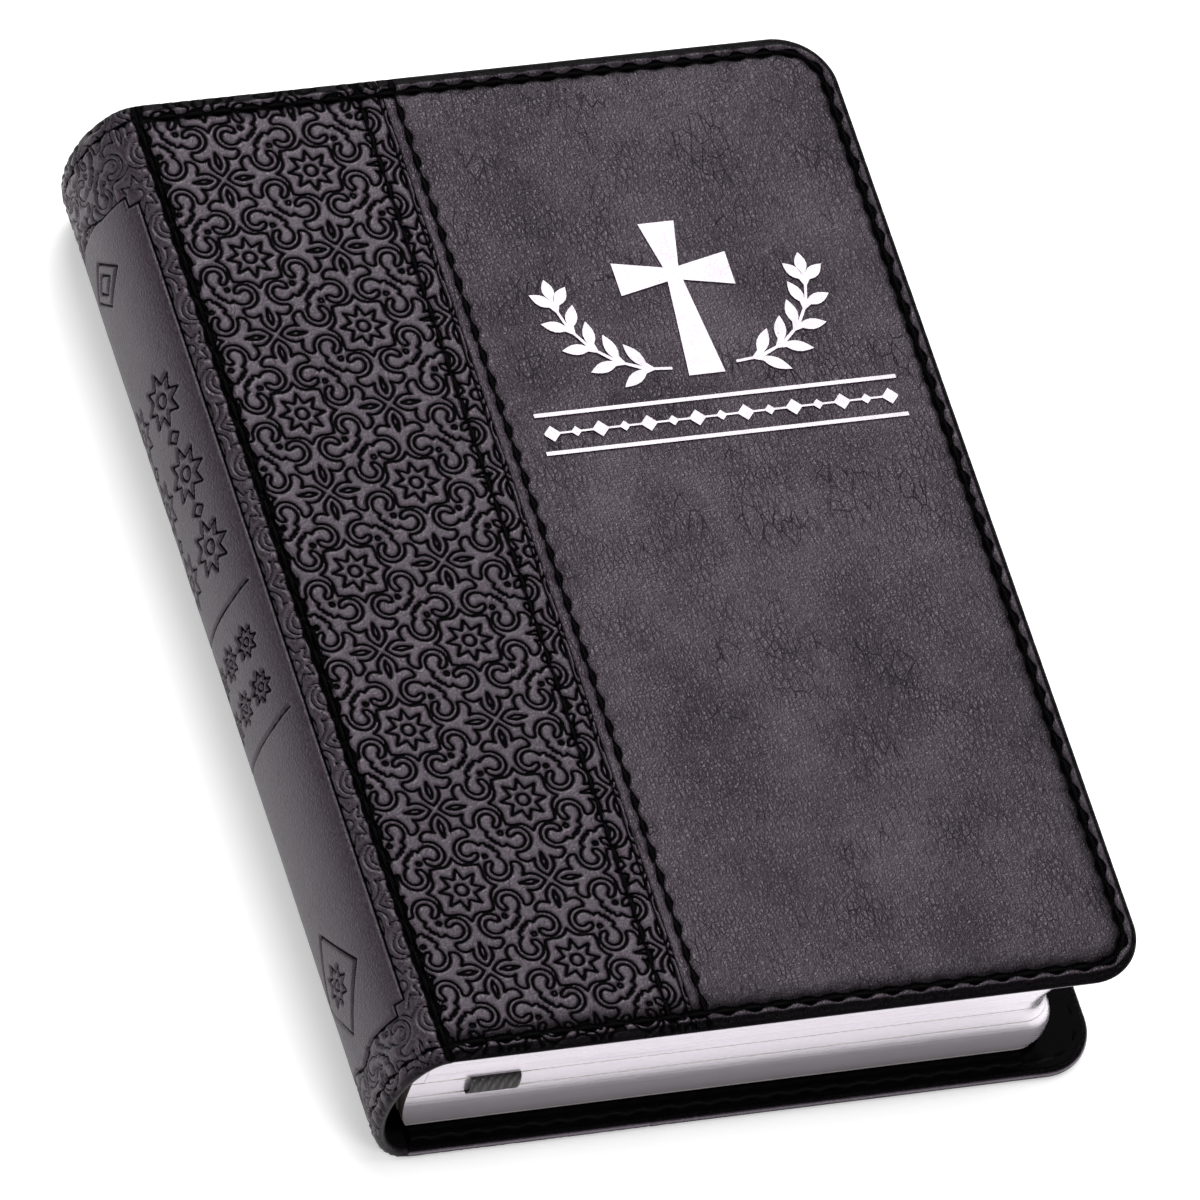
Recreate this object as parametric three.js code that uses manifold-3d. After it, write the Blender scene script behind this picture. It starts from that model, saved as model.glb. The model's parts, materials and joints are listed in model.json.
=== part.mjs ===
// A pocket bible with a round spine and limp leather covers, lying on its back cover.
// X runs from the spine (-X) to the fore edge (+X), Y from the tail (-Y) to the head (+Y), Z up.
// The origin is the middle of the book's footprint, on the surface that it lies on. Millimetres.
import * as THREE from 'three';
import { mergeVertices } from 'three/addons/utils/BufferGeometryUtils.js';
import Module from 'manifold-3d';

const wasm = await Module();
wasm.setup();

// The closed book
const HEIGHT = 150;
const THICKNESS = 25;
const SPINE_BULGE = 7.1;
const COVER_WIDTH = 98.9;
const JOINT_X = SPINE_BULGE / 2 - COVER_WIDTH / 2;
const HEAD_Y = HEIGHT / 2;
const MIDDLE_Z = THICKNESS / 2;
const GAP = 0.05;

// The covers
const COVER_THICKNESS = 1.6;
const COVER_CORNER = 8;
const LEATHER = 0.7;
const BOARD = 0.45;
const LINING = 0.35;
const TURNED_EDGE = 1.2;
const HINGE_CLEARANCE = 0.3;
const STRIP_WIDTH = 34.3;
const PASTEDOWN = 0.12;
const PASTEDOWN_INSET = 5;
const PASTEDOWN_FORE_INSET = 11;

// The sewing: each thread lies in a pressed channel
const THREAD_WIDTH = 0.5;
const THREAD_HEIGHT = 0.25;
const CHANNEL_WIDTH = 0.9;
const CHANNEL_DEPTH = 0.35;
const EDGE_SEAM_INSET = 2.4;
const JOINT_SEAM_X = 2;
const INNER_SEAM_X = 31;
const OUTER_SEAM_X = 36.6;
const SEAM_END_CLEARANCE = 0.8;

// The text block: a rounded back, a hollow fore edge and small round corners
const PAGE_HEIGHT = 142;
const PAGE_CORNER = 4;
const BACK_CENTRE_X = 1.3;
const BACK_ROUND = 2.6;
const BACK_HALF_HEIGHT = 10.9;
const FORE_EDGE_X = 89.5;
const FORE_EDGE_HOLLOW = 2.8;
const FORE_EDGE_HALF_HEIGHT = 7.5;
const BLOCK_TOP = 22.9;
const BLOCK_BOTTOM = THICKNESS - BLOCK_TOP;
const LEAF_GROUP_COUNT = 6;
const LEAF_GROUP_GAP = 0.06;
const LEAF_START_X = 0.6;
const FOLDS_END_X = 0.35;
const FLYLEAF = 0.15;
const FLYLEAF_CLEARANCE = 0.1;
const MULL = 0.3;

// The ribbon marker: down between the leaves, out at the tail and back in between other leaves
const RIBBON_LEFT_X = 6;
const RIBBON_WIDTH = 8;
const RIBBON = 0.2;
const RIBBON_UPPER_Z = 12.3;
const RIBBON_LOWER_Z = 9.03;
const RIBBON_LOOP = 1.3;
const RIBBON_SLOT = 0.08;

// The silver foil on the front cover
const FOIL = 0.1;
const FOIL_CENTRE_X = 66.2;
const FOIL_RULE_LENGTH = 52;
const FOIL_RULE_WIDTH = 0.6;
const FOIL_UPPER_RULE_Y = 20;
const FOIL_LOWER_RULE_Y = 14;
const FOIL_CROSS_BOTTOM_Y = 23.6;
const FOIL_CROSS_TOP_Y = 47.8;

const group = new THREE.Group();

const skin = new THREE.MeshStandardMaterial({ color: 0x4a444b, roughness: 0.55, metalness: 0 });
const tooledSkin = new THREE.MeshStandardMaterial({ color: 0x4f484f, roughness: 0.5, metalness: 0 });
const liningSkin = new THREE.MeshStandardMaterial({ color: 0x131113, roughness: 0.4, metalness: 0 });
const thread = new THREE.MeshStandardMaterial({ color: 0x0c0b0d, roughness: 0.7, metalness: 0 });
const card = new THREE.MeshStandardMaterial({ color: 0x8b8378, roughness: 0.9, metalness: 0 });
const gauze = new THREE.MeshStandardMaterial({ color: 0xd8d4c8, roughness: 0.95, metalness: 0 });
const leaves = new THREE.MeshStandardMaterial({ color: 0xdcd8de, roughness: 0.35, metalness: 0.6 });
const paper = new THREE.MeshStandardMaterial({ color: 0xe9e6df, roughness: 0.9, metalness: 0 });
const twill = new THREE.MeshStandardMaterial({ color: 0x191417, roughness: 0.75, metalness: 0 });
const foil = new THREE.MeshStandardMaterial({ color: 0xece6ec, roughness: 0.25, metalness: 1 });

function addPiece(name, geometry, material) {
  const piece = new THREE.Mesh(geometry, material);
  piece.name = name;
  group.add(piece);
}

function toSolid(geometry) {
  const bare = geometry.clone();
  bare.deleteAttribute('normal');
  bare.deleteAttribute('uv');
  const merged = mergeVertices(bare, 1e-5);
  return new wasm.Manifold(new wasm.Mesh({
    numProp: 3,
    vertProperties: new Float32Array(merged.attributes.position.array),
    triVerts: new Uint32Array(merged.index.array),
  }));
}

function toGeometry(solid) {
  const mesh = solid.getMesh();
  const geometry = new THREE.BufferGeometry();
  geometry.setAttribute('position', new THREE.BufferAttribute(mesh.vertProperties, 3));
  geometry.setIndex(new THREE.BufferAttribute(mesh.triVerts, 1));
  geometry.computeVertexNormals();
  return geometry;
}

function cut(geometry, tools) {
  return toGeometry(tools.reduce((solid, tool) => solid.subtract(toSolid(tool)), toSolid(geometry)));
}

// A plan outline raised from one height to another
function plate(shape, bottom, top) {
  const geometry = new THREE.ExtrudeGeometry(shape, {
    depth: top - bottom,
    bevelEnabled: false,
    curveSegments: 8,
  });
  return geometry.translate(0, 0, bottom);
}

// An outline in the XZ plane carried along Y, centred on the middle of the book
function bar(shape, length) {
  const geometry = new THREE.ExtrudeGeometry(shape, {
    depth: length,
    bevelEnabled: false,
    curveSegments: 8,
  });
  return geometry.rotateX(Math.PI / 2).translate(0, length / 2, 0);
}

// A rectangle in plan, square at the spine side and round at the two fore-edge corners
function leafOutline(left, right, halfHeight, corner) {
  const shape = new THREE.Shape();
  shape.moveTo(left, -halfHeight);
  shape.lineTo(right - corner, -halfHeight);
  shape.absarc(right - corner, corner - halfHeight, corner, -Math.PI / 2, 0, false);
  shape.lineTo(right, halfHeight - corner);
  shape.absarc(right - corner, halfHeight - corner, corner, 0, Math.PI / 2, false);
  shape.lineTo(left, halfHeight);
  shape.closePath();
  return shape;
}

// The outline's points in order, each one once
function distinctPoints(shape, curveSteps) {
  const points = shape.getPoints(curveSteps);
  return points.filter((point, i) => point.distanceTo(points[(i + 1) % points.length]) > 1e-6);
}

// A band in plan along a seam that runs round three edges of a cover
function edgeSeamOutline(width) {
  const left = JOINT_X + JOINT_SEAM_X + SEAM_END_CLEARANCE;
  const right = JOINT_X + COVER_WIDTH - EDGE_SEAM_INSET + width / 2;
  const half = HEAD_Y - EDGE_SEAM_INSET + width / 2;
  const corner = COVER_CORNER - EDGE_SEAM_INSET + width / 2;
  const outer = distinctPoints(leafOutline(left, right, half, corner), 8);
  const inner = distinctPoints(leafOutline(left, right - width, half - width, corner - width), 8);
  return new THREE.Shape([...outer, ...inner.reverse()]);
}

function straightSeamOutline(seamX, width) {
  const half = HEAD_Y - EDGE_SEAM_INSET - SEAM_END_CLEARANCE;
  return boxOutline(JOINT_X + seamX - width / 2, -half, JOINT_X + seamX + width / 2, half);
}

function boxOutline(left, bottom, right, top) {
  return new THREE.Shape([
    new THREE.Vector2(left, bottom),
    new THREE.Vector2(right, bottom),
    new THREE.Vector2(right, top),
    new THREE.Vector2(left, top),
  ]);
}

// A body through closed rings with the same number of points, each ring ahead of the last one
// and counter-clockwise when looked at from ahead
function loft(rings) {
  const count = rings[0].length;
  const positions = rings.flatMap((ring) => ring.flatMap((point) => point.toArray()));
  const index = [];
  for (let level = 0; level + 1 < rings.length; level += 1) {
    for (let i = 0; i < count; i += 1) {
      const a = level * count + i;
      const b = level * count + (i + 1) % count;
      index.push(a, b, b + count, a, b + count, a + count);
    }
  }
  const top = (rings.length - 1) * count;
  for (let i = 1; i + 1 < count; i += 1) {
    index.push(0, i + 1, i, top, top + i, top + i + 1);
  }
  const geometry = new THREE.BufferGeometry();
  geometry.setAttribute('position', new THREE.Float32BufferAttribute(positions, 3));
  geometry.setIndex(index);
  return geometry;
}

// Where the rounded back of the text block lies, from the joint, at a height
function backX(z) {
  const rise = (z - MIDDLE_Z) / BACK_HALF_HEIGHT;
  return BACK_CENTRE_X - BACK_ROUND * Math.sqrt(1 - rise * rise);
}

// Where the hollow fore edge lies, from the joint, at a height
function foreEdgeX(z) {
  const rise = Math.min(Math.abs(z - MIDDLE_Z) / FORE_EDGE_HALF_HEIGHT, 1);
  return FORE_EDGE_X + FORE_EDGE_HOLLOW / 2 * (1 - Math.cos(Math.PI * rise));
}

// Gathered leaves between two heights, starting at the rounded back or at a given place
function leafGroup(bottom, top, leftX, levels) {
  const rings = [];
  for (let level = 0; level <= levels; level += 1) {
    const z = bottom + (top - bottom) * level / levels;
    const left = JOINT_X + Math.max(leftX, backX(z));
    const outline = leafOutline(left, JOINT_X + foreEdgeX(z), PAGE_HEIGHT / 2, PAGE_CORNER);
    rings.push(distinctPoints(outline, 6).map((point) => new THREE.Vector3(point.x, point.y, z)));
  }
  return loft(rings);
}

// The two covers mirror each other in the middle plane of the book: a height measured in from
// the outer face becomes a height above the surface.
function coverHeights(isFront, depthOuter, depthInner) {
  return isFront
    ? [THICKNESS - depthInner, THICKNESS - depthOuter]
    : [depthOuter, depthInner];
}

function coverPlate(isFront, outline, depthOuter, depthInner) {
  const [bottom, top] = coverHeights(isFront, depthOuter, depthInner);
  return plate(outline, bottom, top);
}

function addCover(side) {
  const isFront = side === 'front';
  const left = JOINT_X + HINGE_CLEARANCE;
  const right = JOINT_X + COVER_WIDTH;
  const seamX = JOINT_X + STRIP_WIDTH;
  const beyond = 1;
  const pocketDepth = COVER_THICKNESS - LEATHER;
  const pocketOutline = leafOutline(
    left + TURNED_EDGE, right - TURNED_EDGE, HEAD_Y - TURNED_EDGE, COVER_CORNER - TURNED_EDGE,
  );
  const channels = [
    edgeSeamOutline(CHANNEL_WIDTH),
    straightSeamOutline(JOINT_SEAM_X, CHANNEL_WIDTH),
    straightSeamOutline(INNER_SEAM_X, CHANNEL_WIDTH),
    straightSeamOutline(OUTER_SEAM_X, CHANNEL_WIDTH),
  ].map((outline) => coverPlate(isFront, outline, -beyond, CHANNEL_DEPTH));
  const skinOutline = leafOutline(left, right, HEAD_Y, COVER_CORNER);
  const whole = coverPlate(isFront, skinOutline, 0, COVER_THICKNESS);
  const pocket = coverPlate(isFront, pocketOutline, COVER_THICKNESS - pocketDepth, COVER_THICKNESS + beyond);
  const panelSide = boxOutline(seamX - GAP / 2, -HEIGHT, right + beyond, HEIGHT);
  const stripSide = boxOutline(left - beyond, -HEIGHT, seamX + GAP / 2, HEIGHT);
  const removePanel = coverPlate(isFront, panelSide, -beyond, COVER_THICKNESS + beyond);
  const removeStrip = coverPlate(isFront, stripSide, -beyond, COVER_THICKNESS + beyond);
  addPiece(`${side}_strip_leather`, cut(whole, [pocket, ...channels, removePanel]), tooledSkin);
  addPiece(`${side}_panel_leather`, cut(whole, [pocket, ...channels, removeStrip]), skin);

  const insert = TURNED_EDGE + GAP;
  const insertOutline = leafOutline(
    left + insert, right - insert, HEAD_Y - insert, COVER_CORNER - insert,
  );
  const boardDepth = LEATHER + GAP;
  const liningDepth = COVER_THICKNESS - LINING;
  addPiece(`${side}_board`, coverPlate(isFront, insertOutline, boardDepth, boardDepth + BOARD - GAP), card);
  addPiece(`${side}_lining`, coverPlate(isFront, insertOutline, liningDepth, COVER_THICKNESS), liningSkin);

  const pastedownOutline = leafOutline(
    left + TURNED_EDGE + GAP, right - PASTEDOWN_FORE_INSET, HEAD_Y - PASTEDOWN_INSET, COVER_CORNER,
  );
  const pastedownDepth = COVER_THICKNESS + GAP;
  addPiece(
    `${side}_pastedown`,
    coverPlate(isFront, pastedownOutline, pastedownDepth, pastedownDepth + PASTEDOWN),
    paper,
  );
  addCoverSewing(side, isFront);
}

function addCoverSewing(side, isFront) {
  const outer = CHANNEL_DEPTH - GAP - THREAD_HEIGHT;
  const inner = CHANNEL_DEPTH - GAP;
  const lay = (outline) => coverPlate(isFront, outline, outer, inner);
  addPiece(`${side}_edge_thread`, lay(edgeSeamOutline(THREAD_WIDTH)), thread);
  const rows = { joint: JOINT_SEAM_X, inner_seam: INNER_SEAM_X, outer_seam: OUTER_SEAM_X };
  Object.entries(rows).forEach(([row, seamX]) => {
    addPiece(`${side}_${row}_thread`, lay(straightSeamOutline(seamX, THREAD_WIDTH)), thread);
  });
}

function addFlyleaf(side) {
  const isFront = side === 'front';
  const inner = THICKNESS - BLOCK_TOP - FLYLEAF_CLEARANCE;
  const outline = leafOutline(
    JOINT_X + LEAF_START_X, JOINT_X + foreEdgeX(BLOCK_TOP), PAGE_HEIGHT / 2, PAGE_CORNER,
  );
  addPiece(`${side}_flyleaf`, coverPlate(isFront, outline, inner - FLYLEAF, inner), paper);
}

// A round shell over the back of the book, between two half ellipses that end at the joints
function spineShell(outset, thickness, endX) {
  const steps = 24;
  const arc = (inward) => {
    const bulge = SPINE_BULGE - inward;
    const half = MIDDLE_Z - inward;
    const end = Math.acos(endX / bulge);
    return Array.from({ length: steps + 1 }, (unused, i) => {
      const angle = end * (2 * i / steps - 1);
      return new THREE.Vector2(JOINT_X - bulge * Math.cos(angle), MIDDLE_Z + half * Math.sin(angle));
    });
  };
  const shape = new THREE.Shape([...arc(outset), ...arc(outset + thickness).reverse()]);
  return shape;
}

function addSpine() {
  const spineLeather = 0.8;
  const spineCard = 0.5;
  const spineLining = 0.3;
  const cardInset = spineLeather + GAP;
  const liningInset = cardInset + spineCard + GAP;
  addPiece('spine_leather', bar(spineShell(0, spineLeather, HINGE_CLEARANCE), HEIGHT), tooledSkin);
  addPiece('spine_card', bar(spineShell(cardInset, spineCard, 1), HEIGHT - 2 * TURNED_EDGE), card);
  addPiece('spine_lining', bar(spineShell(liningInset, spineLining, 1), HEIGHT - 2 * TURNED_EDGE), liningSkin);
}

// Gauze glued over the folds of the sections
function addMull() {
  const steps = 16;
  const bottom = BLOCK_BOTTOM + 0.6;
  const top = BLOCK_TOP - 0.6;
  const line = (offset) => Array.from({ length: steps + 1 }, (unused, i) => {
    const z = bottom + (top - bottom) * i / steps;
    return new THREE.Vector2(JOINT_X + backX(z) - offset, z);
  });
  const shape = new THREE.Shape([...line(GAP), ...line(GAP + MULL).reverse()]);
  addPiece('spine_mull', bar(shape, PAGE_HEIGHT - 4), gauze);
}

// The folds of the upper sections, which stay sewn and glued at the back as their leaves turn
function addSewnFolds(bottom) {
  const steps = 14;
  const reach = BACK_CENTRE_X - FOLDS_END_X + 0.25;
  const top = MIDDLE_Z + BACK_HALF_HEIGHT * Math.sqrt(1 - (reach / BACK_ROUND) ** 2);
  const back = Array.from({ length: steps + 1 }, (unused, i) => {
    const z = top + (bottom - top) * i / steps;
    return new THREE.Vector2(JOINT_X + backX(z), z);
  });
  const shape = new THREE.Shape([
    new THREE.Vector2(JOINT_X + FOLDS_END_X, bottom),
    new THREE.Vector2(JOINT_X + FOLDS_END_X, top),
    ...back,
  ]);
  addPiece('sewn_folds', bar(shape, PAGE_HEIGHT), leaves);
}

function addTextBlock() {
  const turningBottom = RIBBON_UPPER_Z + RIBBON + RIBBON_SLOT;
  const pitch = (BLOCK_TOP - turningBottom + LEAF_GROUP_GAP) / LEAF_GROUP_COUNT;
  for (let i = 0; i < LEAF_GROUP_COUNT; i += 1) {
    const top = BLOCK_TOP - i * pitch;
    const bottom = top - pitch + LEAF_GROUP_GAP;
    addPiece(`turning_leaves_${i + 1}`, leafGroup(bottom, top, LEAF_START_X, 3), leaves);
  }
  const farLeft = -SPINE_BULGE;
  const middleTop = RIBBON_UPPER_Z - RIBBON_SLOT;
  const middleBottom = RIBBON_LOWER_Z + RIBBON + RIBBON_SLOT;
  const lowerTop = RIBBON_LOWER_Z - RIBBON_SLOT;
  addPiece('middle_leaves', leafGroup(middleBottom, middleTop, farLeft, 4), leaves);
  addPiece('lower_leaves', leafGroup(BLOCK_BOTTOM, lowerTop, farLeft, 8), leaves);
  addSewnFolds(turningBottom);
}

// A flat band that lies in the fold at the head, slants out over the leaves, runs down to the
// tail, turns over in a small loop and ends between leaves further down
function addRibbon() {
  const left = JOINT_X + RIBBON_LEFT_X;
  const tail = -PAGE_HEIGHT / 2;
  const gutter = JOINT_X + backX(RIBBON_UPPER_Z) + GAP;
  const headEnd = PAGE_HEIGHT / 2 - 0.4;
  const bendY = 15;
  const tuckedEnd = tail + 25;
  const loopStart = tail - 0.1;
  const loopSteps = 12;
  const outerRadius = (RIBBON_UPPER_Z + RIBBON - RIBBON_LOWER_Z) / 2;
  const loopZ = RIBBON_LOWER_Z + outerRadius;
  const across = (x, outer, inner) => [
    new THREE.Vector3(x, inner.x, inner.y),
    new THREE.Vector3(x + RIBBON_WIDTH, inner.x, inner.y),
    new THREE.Vector3(x + RIBBON_WIDTH, outer.x, outer.y),
    new THREE.Vector3(x, outer.x, outer.y),
  ];
  const flat = (x, y, outerZ, innerZ) => across(x, new THREE.Vector2(y, outerZ), new THREE.Vector2(y, innerZ));
  const turn = (angle, radius, reach) => new THREE.Vector2(
    loopStart - reach * Math.sin(angle),
    loopZ + radius * Math.cos(angle),
  );
  const upperTop = RIBBON_UPPER_Z + RIBBON;
  const rings = [
    flat(gutter, headEnd, upperTop, RIBBON_UPPER_Z),
    flat(left, bendY, upperTop, RIBBON_UPPER_Z),
  ];
  for (let i = 0; i <= loopSteps; i += 1) {
    const angle = Math.PI * i / loopSteps;
    const outer = turn(angle, outerRadius, RIBBON_LOOP);
    const inner = turn(angle, outerRadius - RIBBON, RIBBON_LOOP - RIBBON);
    rings.push(across(left, outer, inner));
  }
  rings.push(flat(left, tuckedEnd, RIBBON_LOWER_Z, RIBBON_LOWER_Z + RIBBON));
  addPiece('ribbon_marker', loft(rings), twill);
}

function foilPlate(shape) {
  return plate(shape, THICKNESS + GAP / 2, THICKNESS + GAP / 2 + FOIL);
}

// A Latin cross whose arms widen to their ends
function addFoilCross() {
  const x = JOINT_X + FOIL_CENTRE_X;
  const crossing = FOIL_CROSS_BOTTOM_Y + (FOIL_CROSS_TOP_Y - FOIL_CROSS_BOTTOM_Y) * 0.66;
  const waist = 1.1;
  const flare = 2.6;
  const arm = 8.2;
  const outline = [
    [x - waist, crossing + waist],
    [x - arm, crossing + flare],
    [x - arm, crossing - flare],
    [x - waist, crossing - waist],
    [x - flare, FOIL_CROSS_BOTTOM_Y],
    [x + flare, FOIL_CROSS_BOTTOM_Y],
    [x + waist, crossing - waist],
    [x + arm, crossing - flare],
    [x + arm, crossing + flare],
    [x + waist, crossing + waist],
    [x + flare, FOIL_CROSS_TOP_Y],
    [x - flare, FOIL_CROSS_TOP_Y],
  ].map(([px, py]) => new THREE.Vector2(px, py));
  addPiece('foil_cross', foilPlate(new THREE.Shape(outline)), foil);
}

// The rim of a pointed leaf that leans off a stem: out along one side to the tip, back along
// the other
function leafRim(foot, length, width, angle) {
  const along = new THREE.Vector2(Math.cos(angle), Math.sin(angle));
  const across = new THREE.Vector2(-along.y, along.x);
  const steps = 6;
  const points = [];
  for (let i = 1; i < 2 * steps; i += 1) {
    const t = 1 - Math.abs(i - steps) / steps;
    const side = Math.sign(steps - i) * width / 2 * Math.sin(Math.PI * t);
    points.push(foot.clone().addScaledVector(along, t * length).addScaledVector(across, side));
  }
  return points;
}

// A spray of leaves on a stem that curves up and away from the foot of the cross
function addFoilSpray(name, direction) {
  const start = new THREE.Vector2(4.6, FOIL_CROSS_BOTTOM_Y + 1.4);
  const reach = 13.5;
  const rise = 13;
  const stemHalf = 0.2;
  const pairs = 5;
  const leafLean = 0.8;
  const stemAt = (t) => new THREE.Vector2(
    start.x + reach * Math.sin(t * Math.PI / 2),
    start.y + rise * (1 - Math.cos(t * Math.PI / 2)),
  );
  const headingAt = (t) => stemAt(t + 0.01).sub(stemAt(t - 0.01)).angle();
  const beside = (t, side) => {
    const heading = headingAt(t) + side * Math.PI / 2;
    return stemAt(t).add(new THREE.Vector2(Math.cos(heading), Math.sin(heading)).multiplyScalar(stemHalf));
  };
  const leafPlace = (i) => 0.16 + 0.19 * i;
  const leafAt = (i, side) => leafRim(
    stemAt(leafPlace(i)), 4.8 - 0.25 * i, 1.7, headingAt(leafPlace(i)) + side * leafLean,
  );
  const indices = Array.from({ length: pairs }, (unused, i) => i);
  const upSide = indices.flatMap((i) => [beside(leafPlace(i) - 0.04, 1), ...leafAt(i, 1)]);
  const downSide = indices.reverse().flatMap((i) => [...leafAt(i, -1), beside(leafPlace(i) - 0.04, -1)]);
  const outline = [
    beside(0, 1), ...upSide,
    beside(0.96, 1), ...leafRim(stemAt(0.96), 3.6, 1.7, headingAt(0.96)), beside(0.96, -1),
    ...downSide, beside(0, -1),
  ];
  const placed = outline.map((point) => (
    new THREE.Vector2(JOINT_X + FOIL_CENTRE_X + direction * point.x, point.y)
  ));
  addPiece(name, foilPlate(new THREE.Shape(placed)), foil);
}

// A row of small lozenges on a fine line, between two rules
function addFoilRow() {
  const count = 15;
  const lineHalf = 0.15;
  const pitch = FOIL_RULE_LENGTH / count;
  const y = (FOIL_UPPER_RULE_Y + FOIL_LOWER_RULE_Y) / 2;
  const left = JOINT_X + FOIL_CENTRE_X - FOIL_RULE_LENGTH / 2;
  const edge = (side) => Array.from({ length: count }, (unused, i) => {
    const x = left + (i + 0.5) * pitch;
    const half = i % 2 === 0 ? 1.25 : 0.8;
    return [
      new THREE.Vector2(x - half + lineHalf, y + side * lineHalf),
      new THREE.Vector2(x, y + side * half),
      new THREE.Vector2(x + half - lineHalf, y + side * lineHalf),
    ];
  }).flat();
  addPiece('foil_lozenge_row', foilPlate(new THREE.Shape([...edge(-1), ...edge(1).reverse()])), foil);
}

function addFoilRule(name, y) {
  const left = JOINT_X + FOIL_CENTRE_X - FOIL_RULE_LENGTH / 2;
  const rule = boxOutline(left, y - FOIL_RULE_WIDTH / 2, left + FOIL_RULE_LENGTH, y + FOIL_RULE_WIDTH / 2);
  addPiece(name, foilPlate(rule), foil);
}

addCover('front');
addCover('back');
addSpine();
addMull();
addTextBlock();
addFlyleaf('front');
addFlyleaf('back');
addRibbon();
addFoilCross();
addFoilSpray('foil_left_spray', -1);
addFoilSpray('foil_right_spray', 1);
addFoilRow();
addFoilRule('foil_upper_rule', FOIL_UPPER_RULE_Y);
addFoilRule('foil_lower_rule', FOIL_LOWER_RULE_Y);

export default group;
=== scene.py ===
import json
import math

import bmesh
import bpy
import numpy as np
from mathutils import Matrix, Vector


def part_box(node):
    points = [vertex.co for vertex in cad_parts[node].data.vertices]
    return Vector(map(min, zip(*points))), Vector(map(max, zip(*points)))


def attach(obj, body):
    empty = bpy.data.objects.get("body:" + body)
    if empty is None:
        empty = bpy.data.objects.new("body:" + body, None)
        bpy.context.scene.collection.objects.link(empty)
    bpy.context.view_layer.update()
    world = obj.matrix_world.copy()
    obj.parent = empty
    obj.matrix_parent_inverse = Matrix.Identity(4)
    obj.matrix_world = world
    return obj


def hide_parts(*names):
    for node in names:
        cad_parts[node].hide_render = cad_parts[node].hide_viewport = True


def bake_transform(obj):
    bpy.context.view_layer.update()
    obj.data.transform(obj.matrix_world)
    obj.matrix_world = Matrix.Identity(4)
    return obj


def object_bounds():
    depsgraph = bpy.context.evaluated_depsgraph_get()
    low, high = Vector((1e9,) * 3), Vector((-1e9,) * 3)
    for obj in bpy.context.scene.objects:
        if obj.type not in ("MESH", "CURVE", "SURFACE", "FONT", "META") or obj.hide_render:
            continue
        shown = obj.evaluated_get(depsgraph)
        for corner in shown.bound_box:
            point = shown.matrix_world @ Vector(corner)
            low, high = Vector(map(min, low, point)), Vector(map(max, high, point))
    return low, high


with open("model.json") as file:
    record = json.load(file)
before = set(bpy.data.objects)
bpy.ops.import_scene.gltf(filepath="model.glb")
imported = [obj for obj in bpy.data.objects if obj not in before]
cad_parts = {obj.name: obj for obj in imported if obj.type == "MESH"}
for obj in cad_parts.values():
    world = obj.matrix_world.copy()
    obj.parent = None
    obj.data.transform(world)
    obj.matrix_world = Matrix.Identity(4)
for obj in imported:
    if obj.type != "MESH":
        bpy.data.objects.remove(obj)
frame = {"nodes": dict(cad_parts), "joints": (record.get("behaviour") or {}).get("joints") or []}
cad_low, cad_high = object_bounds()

# ----------------------------------------
# Sizes. Shapes are worked out in millimetres from the front joint line (x), from the middle of
# the book's height (y) and from the table (z), and go to metres in the CAD frame at the end.
# ----------------------------------------
MM = 0.001
JOINT = next(j for j in frame["joints"] if j["name"] == "front_cover_joint")["pos_m"]
JOINT_X = JOINT[0] / MM
THICK = JOINT[2] / MM
WIDTH = cad_high.x / MM - JOINT_X
HALF = cad_high.y / MM
BULGE = JOINT_X - cad_low.x / MM
MIDDLE = THICK / 2

CORNER = 8.0
SKIN = 1.5
EDGE_ROUND = SKIN / 2
STRIP_END = 34.3
DEEPEST = -0.58
EDGE_INSET = 2.4
FORE_INSET = 1.9
STITCH = 3.9
JOINT_ROW = -0.35
INNER_ROW = 31.1
OUTER_ROW = 36.2
PATTERN = 12.42
STAR_X = 8.72
STAR_Y = 124.35 - HALF
STRIP_RULE = 33.85
GROOVE_HALF = 0.21
GROOVE_DEPTH = 0.24
SPINE_BORDER = 3.95
SPINE_PANEL = (62.5, -66.0)
SPINE_WALL = 1.7
LINING_INSET = 0.95
LINING_DEPTH = 1.62
PASTEDOWN = 0.12

SIDES = {
    "front": {"body": "front_cover", "up": True},
    "back": {"body": "back_cover", "up": False},
}


# ----------------------------------------
# Mesh helpers
# ----------------------------------------
def to_frame(points, up=True):
    """Millimetres from the joint to metres in the frame; the back cover mirrors the front one."""
    out = np.array(points, float)
    out[..., 0] += JOINT_X
    if not up:
        out[..., 2] = THICK - out[..., 2]
    return out * MM


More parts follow.
